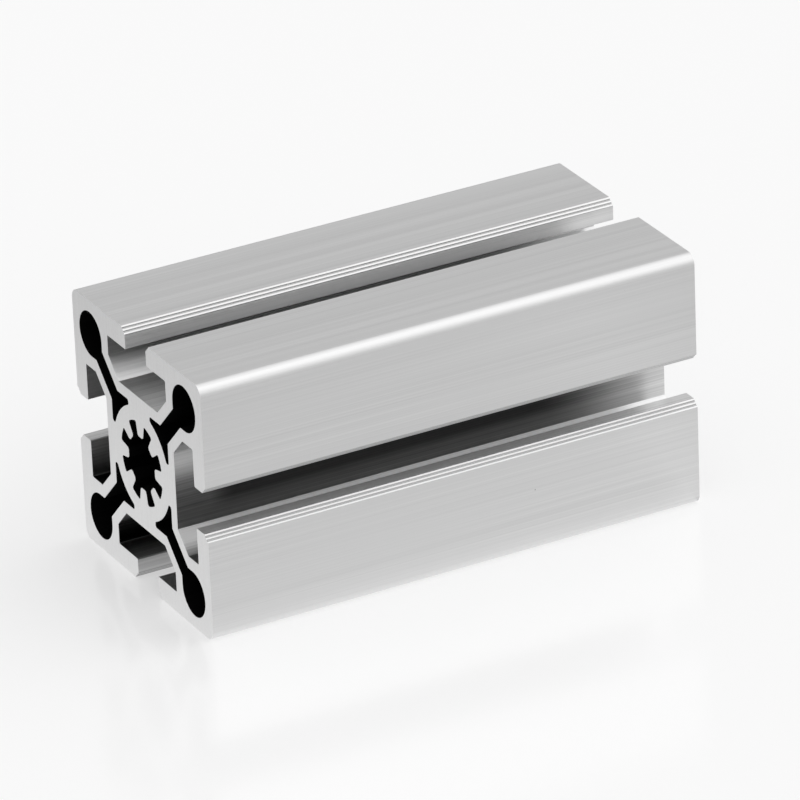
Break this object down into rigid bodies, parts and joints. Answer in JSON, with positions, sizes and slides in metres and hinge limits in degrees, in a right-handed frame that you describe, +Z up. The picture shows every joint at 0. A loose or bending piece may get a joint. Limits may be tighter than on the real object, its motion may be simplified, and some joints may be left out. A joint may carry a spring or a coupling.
{
  "type": "aluminium extrusion profile",
  "caption": "Square aluminium T-slot profile cut to a short length, with slots on all sides, hollow corners on diagonal webs and a toothed core bore.",
  "frame": {"origin": "middle of the underside, the side the bar lies on", "axes": "+X along the bar, from the end that is near in the picture to the far one; +Y to its left, away from the picture's viewer; +Z up"},
  "size_m": [0.1, 0.05, 0.05],
  "materials": {
    "aluminium": "satin natural anodised sides with fine lengthwise lines, sawn ends bare"
  },
  "bodies": {
    "root": {"profile": "aluminium"}
  },
  "joints": []
}
